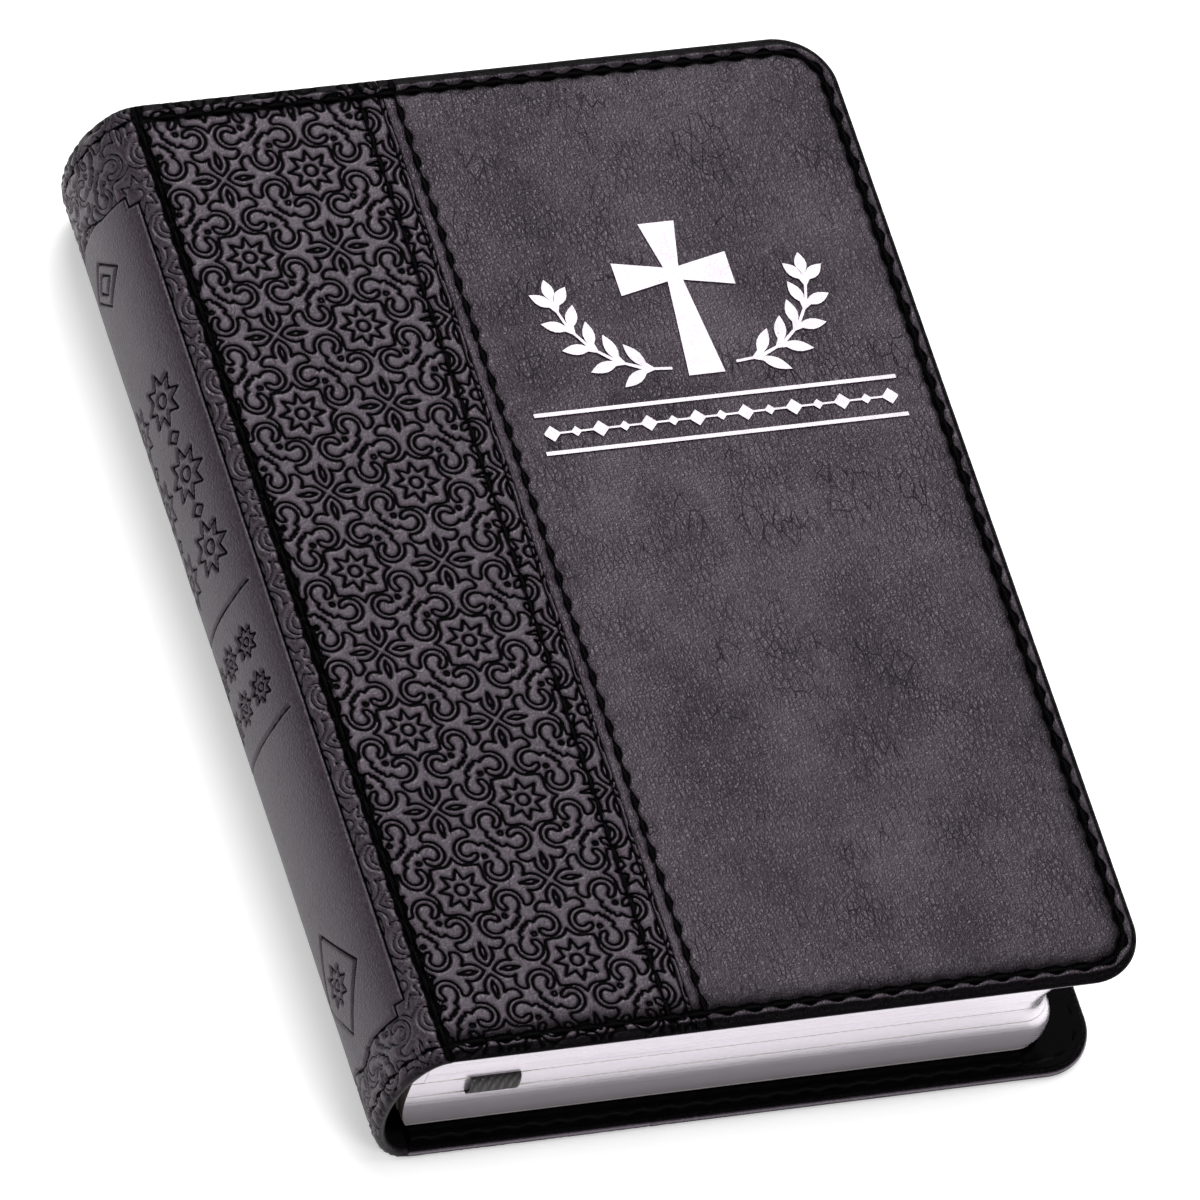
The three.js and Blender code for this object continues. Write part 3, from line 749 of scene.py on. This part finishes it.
def plate_with_rim(name, xs, ys, ends, height_of, material, side, free_right):
    """A closed skin: a fine face, rounded free edges painted darker as they roll over with a painted
    highlight line below them, a flat inside.
    """
    x, y = fitted_grid(xs, ys, ends)
    height, groove_tone_and_shade, painted_shading = height_of(x, y)
    face = np.stack([x, y, THICK + height], -1).reshape(-1, 3)
    loop = grid_outline(*x.shape)
    ring = face[loop]
    normal = outward(ring[:, :2])
    at_end = np.abs(ring[:, 1]) >= ys[-1] - 1e-6
    joined = ring[:, 0] <= xs[0] + 1e-6
    if not free_right:
        joined |= ring[:, 0] >= xs[-1] - 1e-6
    normal[joined, 0] = 0
    normal[joined & ~at_end, 1] = 0
    normal[at_end, 1] = np.sign(normal[at_end, 1]) * np.sqrt(1 - normal[at_end, 0] ** 2)

    # Two rings under the roll get a painted highlight line, paler on the front cover.
    steps, highlight_steps = 10, (6, 7)
    edge_highlight = -1.0 if side == "front" else -0.5
    rings, tone_and_shade_rings, shading_rings = [], [], []
    for k in range(1, steps + 1):
        turn = math.pi * k / steps
        fall = max(math.cos(turn), 0)
        z = THICK - EDGE_ROUND * (1 - math.cos(turn)) + (ring[:, 2] - THICK) * fall
        rings.append(np.column_stack([ring[:, :2] + normal * EDGE_ROUND * math.sin(turn), z]))
        tone_and_shade_rings.append(groove_tone_and_shade.ravel()[loop] * fall + 0.4 * (1 - fall))
        # Painted shade deepens as the edge rolls over.
        rolled = 1 - (1 - painted_shading.ravel()[loop]) * fall
        shading_rings.append(np.full(len(loop), edge_highlight) if k in highlight_steps else rolled)
    base, count = len(face), len(loop)
    first = side_faces(loop, base + np.arange(count))
    quads = np.concatenate([grid_faces(*x.shape), first, ring_faces(steps, count, base)])
    cap = (base + (steps - 1) * count + np.arange(count))[None]
    attributes = {
        "groove_tone_and_shade": np.concatenate([groove_tone_and_shade.ravel(), *tone_and_shade_rings]),
        "painted_shading": np.concatenate([painted_shading.ravel(), *shading_rings]),
    }
    points = np.concatenate([face, *rings])
    return make_piece(name, points, [quads, cap], [material], SIDES[side]["up"], 180, attributes)


def outward(ring):
    """Unit normals, pointing out, of a closed counter-clockwise ring."""
    ahead = np.roll(ring, -1, 0) - np.roll(ring, 1, 0)
    normal = np.column_stack([ahead[:, 1], -ahead[:, 0]])
    return normal / np.linalg.norm(normal, axis=1)[:, None]


def cover_rows(inset, turns, straight):
    """Places along the height of a cover, closer at the corners, and the fore edge at each."""
    radius, square = CORNER - inset, HALF - CORNER
    corner = square + radius * np.sin(np.linspace(0, math.pi / 2, turns))
    ys = np.concatenate([-corner[::-1], np.linspace(-square, square, straight)[1:-1], corner])
    past = np.maximum(np.abs(ys) - square, 0)
    return ys, WIDTH - inset - radius + np.sqrt(np.maximum(radius**2 - past**2, 0))


def add_cover(side):
    strip_xs = np.linspace(0, STRIP_END, 138)
    strip_ys = np.linspace(-HALF + EDGE_ROUND, HALF - EDGE_ROUND, 600)
    strip_ends = np.full(len(strip_ys), STRIP_END)
    strip = plate_with_rim(
        f"{side}_strip_skin", strip_xs, strip_ys, strip_ends, strip_relief, TOOLED, side, False,
    )
    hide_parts(f"{side}_strip_leather")
    blend_at_joint(strip)

    panel_xs = np.linspace(STRIP_END + 0.12, WIDTH - EDGE_ROUND, 178)
    panel_ys, panel_ends = cover_rows(EDGE_ROUND, 28, 420)
    panel = plate_with_rim(
        f"{side}_panel_skin", panel_xs, panel_ys, panel_ends, cover_relief, PLAIN, side, True,
    )
    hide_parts(f"{side}_panel_leather")
    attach(panel, SIDES[side]["body"])

    row_of_stitches(f"{side}_edge", side, edge_path())
    row_of_stitches(f"{side}_joint", side, straight_path(JOINT_ROW), blended=True)
    row_of_stitches(f"{side}_inner_seam", side, straight_path(INNER_ROW))
    row_of_stitches(f"{side}_outer_seam", side, straight_path(OUTER_ROW))
    add_lining(side)


def add_lining(side):
    """The thin black skin inside a cover, drawn in by the same stitches."""
    ys, ends = cover_rows(LINING_INSET, 20, 230)
    x, y = fitted_grid(np.linspace(0.9, WIDTH - LINING_INSET, 160), ys, ends)
    drawn, _ = pucker(*edge_row(x, y), 0.15, 0.4, 0.07)
    inner = THICK - LINING_DEPTH - drawn
    outer = np.full_like(inner, THICK - SKIN + 0.04)
    points = np.concatenate([np.stack([x, y, z], -1).reshape(-1, 3) for z in (inner, outer)])
    faces = grid_faces(*x.shape)
    loop = grid_outline(*x.shape)
    quads = np.concatenate([faces, faces + x.size, side_faces(loop, loop + x.size)])
    piece = make_piece(f"{side}_lining_skin", points, [quads], [LINING], SIDES[side]["up"], 50)
    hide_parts(f"{side}_lining")
    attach(piece, SIDES[side]["body"])


# ----------------------------------------
# Spine
# ----------------------------------------
def spine_arc():
    """Points and outward normals along the round of the spine, and the arc length at each."""
    angle = np.linspace(math.pi / 2, -math.pi / 2, 4001)
    points = np.stack([-BULGE * np.cos(angle), MIDDLE + MIDDLE * np.sin(angle)], -1)
    steps = np.hypot(*np.diff(points, axis=0).T)
    length = np.concatenate([[0], np.cumsum(steps)])
    normal = np.stack([-np.cos(angle) / BULGE, np.sin(angle) / MIDDLE], -1)
    normal /= np.linalg.norm(normal, axis=1)[:, None]
    return points, normal, length


def star_outline(x, y, size):
    """A pressed eight-pointed star with a ring in it."""
    angles = np.arange(17) * math.pi / 8
    radii = np.where(np.arange(17) % 2 == 0, size, 0.56 * size)
    star = np.stack([x + radii * np.cos(angles), y + radii * np.sin(angles)], -1)
    return [star, arc(x, y, 0.26 * size, 0, 360)]


def lozenge(x, y, half_x, half_y):
    return [np.array([(x - half_x, y), (x, y + half_y), (x + half_x, y), (x, y - half_y), (x - half_x, y)])]


def spine_lines(total):
    """Grooves on the spine's smooth panel: border, rules and plain ornaments, as (arc, y) curves."""
    mid = total / 2
    left, right = SPINE_BORDER, total - SPINE_BORDER
    top, bottom = SPINE_PANEL
    step = 1.7
    border = [
        (left, bottom + step), (left, top - step), (left + step, top - step), (left + step, top),
        (mid - 4.5, top), (mid, top + 1.6), (mid + 4.5, top),
        (right - step, top), (right - step, top - step),
        (right, top - step), (right, bottom + step), (right - step, bottom + step), (right - step, bottom),
        (mid + 4.5, bottom), (mid, bottom - 1.6), (mid - 4.5, bottom), (left + step, bottom),
        (left + step, bottom + step), (left, bottom + step),
    ]
    lines = [np.array(border, float)]
    for y in (1.4, -18.4):
        bow = ((-9.4, 0.9), (-5, 0.15), (0, 0), (5, 0.15), (9.4, 0.9))
        lines.append(curve_through([(mid + across, y + rise) for across, rise in bow]))
    for y in (10.5, 22.0, 33.5):
        lines += star_outline(mid - 4.6, y, 3.9) + star_outline(mid + 4.6, y, 3.9)
    for y in (16.25, 27.75):
        lines += lozenge(mid - 4.6, y, 1.3, 1.0) + lozenge(mid + 4.6, y, 1.3, 1.0)
    for y in (-5.0, -12.0):
        for across in (-5.4, 0, 5.4):
            lines += star_outline(mid + across, y, 2.3)
    lines += lozenge(mid, 55.0, 4.6, 3.4) + lozenge(mid, 55.0, 2.2, 1.6)
    lines += lozenge(mid, -55.0, 6.4, 7.6) + star_outline(mid, -55.0, 2.9)
    return lines


def spine_relief(arc_length, y, total):
    """Height of the spine's face, distance from the black of grooves and stitch troughs (darker tone and
    painted shade), and painted shade at the head and tail and in the relief, by arc length from the front
    joint.
    """
    height = np.zeros_like(y)
    from_joint = np.minimum(arc_length, total - arc_length)
    edge = HALF - np.abs(y)
    distance = pattern_distance(-from_joint, y) - 0.2
    in_panel = (from_joint > SPINE_BORDER) & (y < SPINE_PANEL[0]) & (y > SPINE_PANEL[1])
    height -= np.where(in_panel, 0.0, 0.3 * smooth_step(0.3, -0.2, distance))
    lines = line_distance(arc_length, y, spine_lines(total)) - 0.16
    height -= 0.34 * smooth_step(0.26, -0.1, lines)
    seam, groove_tone_and_shade = pucker(edge - EDGE_INSET, arc_length + 1.2, 0.14, 0.3, 0.34)
    height += seam
    groove_tone_and_shade = np.minimum(groove_tone_and_shade, lines)
    # Painted shade: thin black lines along the relief grooves outside the panel.
    groove_tone_and_shade = np.minimum(groove_tone_and_shade, np.where(in_panel, 9.0, distance + 0.09))
    joint_seam, joint_tone_and_shade = pucker(*straight_row(-from_joint, y, JOINT_ROW), *ROWS["joint"][1:])
    height += joint_seam
    groove_tone_and_shade = np.minimum(groove_tone_and_shade, joint_tone_and_shade)
    height -= 0.25 * smooth_step(1.9, 0.2, edge)
    height += 0.03 * (soft_noise(arc_length + 12, y + 80, 7.0, 15) - 1)
    # Painted shade towards the head and tail edges and in the relief grooves outside the panel.
    painted_shading = 0.75 * smooth_step(1.6, 0.5, edge)
    shade = np.where(in_panel, 0.0, 0.35 * smooth_step(0.12, -0.15, distance))
    return np.maximum(height, DEEPEST), groove_tone_and_shade, np.maximum(painted_shading, shade)


def add_spine():
    """A closed shell round the back of the book, from joint to joint, with round head and tail caps."""
    points, normals, length = spine_arc()
    total = length[-1]
    arcs = np.linspace(0, total, 136)
    centre = np.stack([np.interp(arcs, length, points[:, k]) for k in (0, 1)], -1)
    normal = np.stack([np.interp(arcs, length, normals[:, k]) for k in (0, 1)], -1)
    radius = SPINE_WALL / 2
    ys = np.linspace(-HALF + radius, HALF - radius, 560)
    y = np.repeat(ys[None], len(arcs), 0)
    along = np.repeat(arcs[:, None], len(ys), 1)
    height, groove_tone_and_shade, painted_shading = spine_relief(along, y, total)
    steps = 8
    turn = np.linspace(0, math.pi, steps + 2)[1:-1]
    ones = np.ones(len(arcs))
    columns_y, columns_h = list(y.T), list(height.T)
    columns_tone_and_shade, columns_shading = list(groove_tone_and_shade.T), list(painted_shading.T)

    def add_cap(side, angles, column):
        for t in angles:
            fall = max(math.cos(t), 0)
            columns_y.append(ones * (side * (ys[-1] + radius * math.sin(t))))
            columns_h.append(height[:, column] * fall - radius * (1 - math.cos(t)))
            columns_tone_and_shade.append(groove_tone_and_shade[:, column] * fall + 0.4 * (1 - fall))
            # The head and tail caps carry painted shade.
            columns_shading.append(ones * 0.75)

    add_cap(1, turn, -1)
    for inner_y in np.linspace(ys[-1], ys[0], 12):
        columns_y.append(ones * inner_y)
        columns_h.append(ones * -SPINE_WALL)
        columns_tone_and_shade.append(ones * 0.4)
        # The inner wall of the shell is painted full shade.
        columns_shading.append(ones)
    add_cap(-1, turn[::-1], 0)
    h = np.stack(columns_h, 1)
    yy = np.stack(columns_y, 1)
    x = centre[:, :1] + normal[:, :1] * h
    z = centre[:, 1:] + normal[:, 1:] * h
    rings, count = x.shape
    every = np.stack([x, yy, z], -1).reshape(-1, 3)
    caps = np.array([np.arange(count), (rings - 1) * count + np.arange(count)])
    attributes = {"groove_tone_and_shade": np.stack(columns_tone_and_shade, 1).ravel(), "painted_shading": np.stack(columns_shading, 1).ravel()}
    piece = make_piece(
        "spine_skin", every, [ring_faces(rings, count), caps], [TOOLED], True, 180, attributes,
    )
    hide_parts("spine_leather")
    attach(piece, "text_block")


# ----------------------------------------
# Text block
# ----------------------------------------
BLOCK_HALF = (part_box("lower_leaves")[1].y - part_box("lower_leaves")[0].y) / 2 / MM
LEAF_CORNER = 4.0
BACK_CENTRE = 1.3
BACK_ROUND = 2.6
BACK_HALF = 10.9
FORE_EDGE = 89.5
FORE_HOLLOW = 2.8
FORE_HALF = 7.5
FORE_ROLL = 0.7
RIBBON_X = (7.0, 14.0)


def back_x(z):
    """Where the rounded back of the text block lies at a height."""
    rise = np.clip((z - MIDDLE) / BACK_HALF, -1, 1)
    return BACK_CENTRE - BACK_ROUND * np.sqrt(1 - rise**2)


def fore_x(z):
    """Where the hollow fore edge lies at a height, rolled in a little at top and bottom."""
    from_middle = np.abs(z - MIDDLE)
    rise = np.minimum(from_middle / FORE_HALF, 1)
    rolled = FORE_ROLL * smooth_step(9.2, 10.8, from_middle)
    return FORE_EDGE + FORE_HOLLOW / 2 * (1 - np.cos(math.pi * rise)) - rolled


def ribbon_lift(x):
    """How the leaves part round the ribbon, from 0 away from it to 1 over it."""
    left, right = RIBBON_X
    return smooth_step(left - 3.5, left - 0.2, x) * smooth_step(right + 3.5, right + 0.2, x)


def bend_at_gutter(piece):
    """Bakes the piece's placement into its points; the leaves are not bent at the gutter here."""
    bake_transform(piece)


def leaf_block(name, bottom, top, left_of, lift_bottom=0.0, lift_top=0.0, seed=1):
    """A gathered block of leaves: a pile of outlines whose edges are never quite even."""
    levels = max(int(round((top - bottom) / 0.11)), 2)
    noise = np.random.default_rng(seed)
    bend = np.linspace(0, math.pi / 2, 9)
    rings = []
    for level in range(levels + 1):
        t = level / levels
        z = bottom + (top - bottom) * t
        uneven = noise.uniform(-0.004, 0.004) * (0 < level < levels)
        left = left_of(z)
        right = float(fore_x(z)) + uneven
        half = BLOCK_HALF + uneven
        gutter_x = left + np.linspace(0, 1, 26)[:-1] ** 1.25 * (18 - left)
        straight_x = np.concatenate([gutter_x, np.linspace(18, right - LEAF_CORNER, 20)])
        x = np.concatenate([straight_x, right - LEAF_CORNER * (1 - np.sin(bend[1:]))])
        y = np.concatenate([np.full(len(straight_x), half), half - LEAF_CORNER * (1 - np.cos(bend[1:]))])
        lift = ribbon_lift(x)
        level_z = z + lift * (lift_bottom * (1 - t) + lift_top * t)
        tail = np.column_stack([x, -y, level_z])
        head = np.column_stack([x, y, level_z])[::-1]
        rings.append(np.concatenate([tail, head]))
    count = len(rings[0])
    wall = ring_faces(levels + 1, count)
    is_back = (wall[:, 0] % count) == count - 1
    ladder = ladder_faces(count // 2)
    sets = [wall[~is_back], wall[is_back], ladder + levels * count, ladder]
    piece = make_piece(
        name, np.concatenate(rings), sets, [GILT, LEAF, CARD], True, 35, None, [0, 2, 1, 1],
    )
    return piece


def add_text_block():
    groups = sorted(n for n in frame["nodes"] if n.startswith("turning_leaves_"))
    for number, node in enumerate(groups, 1):
        low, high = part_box(node)
        left = low.x / MM - JOINT_X - 0.2
        drop, lift = (0.1, 0.09) if number == len(groups) else (0.03, 0.0)
        piece = leaf_block(
            f"leaf_group_{number}", low.z / MM - drop, high.z / MM, lambda z: left, lift, 0.0, number,
        )
        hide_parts(node)
        bend_at_gutter(piece)
    middle_low, middle_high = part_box("middle_leaves")
    middle = leaf_block("middle_leaf_block", middle_low.z / MM - 0.1, middle_high.z / MM + 0.12,
                        lambda z: float(back_x(z)), 0.08, -0.12, 21)
    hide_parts("middle_leaves")
    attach(middle, "text_block")
    lower_low, lower_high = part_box("lower_leaves")
    lower = leaf_block("lower_leaf_block", lower_low.z / MM, lower_high.z / MM + 0.12,
                       lambda z: float(back_x(z)), 0.0, -0.12, 22)
    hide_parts("lower_leaves")
    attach(lower, "text_block")


def add_flyleaves():
    for side, info in SIDES.items():
        node = f"{side}_flyleaf"
        low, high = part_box(node)
        bottom, top = low.z / MM, high.z / MM
        piece = leaf_block(f"{side}_flyleaf_sheet", bottom, top, lambda z: low.x / MM - JOINT_X, 0, 0, 30)
        piece.data.materials[1] = ENDPAPER
        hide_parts(node)
        bend_at_gutter(piece)


def add_pastedowns():
    """The glued half of each endpaper, which bridges the joint to the text block."""
    for side, info in SIDES.items():
        node = f"{side}_pastedown"
        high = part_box(node)[1]
        half = high.y / MM
        right = high.x / MM - JOINT_X
        corner = 8.0
        bend = np.linspace(0, math.pi / 2, 9)[1:]
        straight_x = np.concatenate([np.linspace(0.5, 8, 22)[:-1], np.linspace(8, right - corner, 12)])
        x = np.concatenate([straight_x, right - corner + corner * np.sin(bend)])
        y = np.concatenate([np.full(len(straight_x), half), half - corner + corner * np.cos(bend)])
        top, bottom = THICK - LINING_DEPTH, THICK - LINING_DEPTH - PASTEDOWN
        rings = []
        for z in (bottom, top):
            near = np.column_stack([x, -y, np.full(len(x), z)])
            far = np.column_stack([x, y, np.full(len(x), z)])[::-1]
            rings.append(np.concatenate([near, far]))
        count = 2 * len(x)
        ladder = ladder_faces(len(x))
        sets = [ring_faces(2, count), ladder + count, ladder]
        piece = make_piece(
            f"{side}_pastedown_sheet", np.concatenate(rings), sets, [ENDPAPER], info["up"], 35,
        )
        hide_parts(node)
        blend_at_joint(piece)


def add_ribbon():
    """The ribbon: flat between the leaves, out at the tail in a soft loop and back in."""
    low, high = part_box("ribbon_marker")
    upper = high.z / MM - 0.1
    lower = low.z / MM + 0.1
    left, right = RIBBON_X
    tail = -BLOCK_HALF
    thick = 0.11
    gutter = 0.2
    path = [(gutter, BLOCK_HALF - 0.6, upper), (gutter + 1.4, 55.0, upper), (left - 1.2, 30.0, upper),
            (left, 10.0, upper), (left, -20.0, upper), (left, tail + 3, upper)]
    loop_steps = 14
    mid, radius = (upper + lower) / 2, (upper - lower) / 2
    for i in range(loop_steps + 1):
        angle = math.pi * i / loop_steps
        reach = 0.75 * math.sin(angle) ** 0.8
        path.append((left, tail - 0.05 - reach, mid + radius * math.cos(angle)))
    path += [(left, tail + 3, lower), (left, tail + 24, lower)]
    path = np.array(path)
    heading = np.gradient(path[:, 1:], axis=0)
    heading /= np.linalg.norm(heading, axis=1)[:, None]
    normal = np.column_stack([-heading[:, 1], heading[:, 0]])
    columns = np.linspace(0, 1, 15)
    crown = 0.05 * np.sin(math.pi * columns)
    rings = []
    for (x, y, z), (ny, nz) in zip(path, normal):
        over = [(x + c * (right - left), y + ny * (thick - 0.05 + k), z + nz * (thick - 0.05 + k))
                for c, k in zip(columns, crown)]
        under = [(x + c * (right - left), y - ny * thick, z - nz * thick) for c in columns]
        rings.append(over + under[::-1])
    rings = np.array(rings)
    count = rings.shape[1]
    caps = np.array([np.arange(count), (len(rings) - 1) * count + np.arange(count)])
    sets = [ring_faces(len(rings), count), caps]
    piece = make_piece("ribbon_band", rings.reshape(-1, 3), sets, [TWILL], True, 50)
    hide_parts("ribbon_marker")
    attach(piece, "text_block")


def finish_cad_nodes():
    """CAD pieces that stay as they are get their own finish."""
    finishes = {
        "board": CARD, "spine_card": CARD, "spine_lining": LINING, "spine_mull": GAUZE,
        "sewn_folds": GILT, "foil": FOIL,
    }
    for name, node in frame["nodes"].items():
        for key, material in finishes.items():
            if key in name:
                node.data.materials.clear()
                node.data.materials.append(material)


# ----------------------------------------
# Studio
# ----------------------------------------
def add_camera():
    """Above the tail and the spine, rolled, with a long lens."""
    azimuth, elevation, roll = math.radians(-38.07), math.radians(53.25), math.radians(25.53)
    target = Vector((0.6, -1.7, MIDDLE)) * MM
    distance = 2.9917
    back = Vector((
        math.sin(azimuth) * math.cos(elevation),
        -math.cos(azimuth) * math.cos(elevation),
        math.sin(elevation),
    ))
    right = (-back).cross(Vector((0, 0, 1))).normalized()
    up = back.cross(right)
    rolled_right = right * math.cos(roll) + up * math.sin(roll)
    rolled_up = back.cross(rolled_right)
    data = bpy.data.cameras.new("camera")
    data.sensor_width = 36
    data.lens = 679.3
    data.clip_start, data.clip_end = 0.5, 20
    camera = bpy.data.objects.new("camera", data)
    turn = Matrix((rolled_right, rolled_up, back)).transposed().to_4x4()
    camera.matrix_world = Matrix.Translation(target + back * distance) @ turn
    bpy.context.scene.collection.objects.link(camera)
    bpy.context.scene.camera = camera


def add_light(name, place, size, power):
    data = bpy.data.lights.new(name, "AREA")
    data.shape = "RECTANGLE"
    data.size, data.size_y = size
    data.energy = power
    light = bpy.data.objects.new(name, data)
    light.location = place
    light.rotation_euler = (-Vector(place)).to_track_quat("-Z", "Y").to_euler()
    bpy.context.scene.collection.objects.link(light)


def add_studio():
    size = 4.0
    mesh = bpy.data.meshes.new("studio_floor")
    just_below = -0.00002
    corners = [(-size, -size), (size, -size), (size, size), (-size, size)]
    mesh.from_pydata([(x, y, just_below) for x, y in corners], [], [(0, 1, 2, 3)])
    mesh.materials.append(floor_paint())
    floor = bpy.data.objects.new("studio_floor", mesh)
    bpy.context.scene.collection.objects.link(floor)
    add_light("top_light", (0.3, 0.4, 1.5), (1.6, 1.6), 22)
    add_light("back_light", (0.25, 1.05, 0.75), (0.8, 0.4), 11)
    add_light("left_light", (-1.2, -0.1, 0.95), (0.7, 0.9), 8)
    add_light("front_light", (0.5, -1.15, 0.95), (0.9, 0.6), 9)
    world = bpy.data.worlds.new("studio")
    world.use_nodes = True
    background = world.node_tree.nodes["Background"]
    background.inputs["Color"].default_value = (1.0, 1.0, 1.0, 1.0)
    background.inputs["Strength"].default_value = 0.16
    bpy.context.scene.world = world
    bpy.context.scene.view_settings.view_transform = "Standard"


add_camera()
for cover_side in SIDES:
    add_cover(cover_side)
add_spine()
add_text_block()
add_flyleaves()
add_pastedowns()
add_ribbon()
finish_cad_nodes()
add_studio()
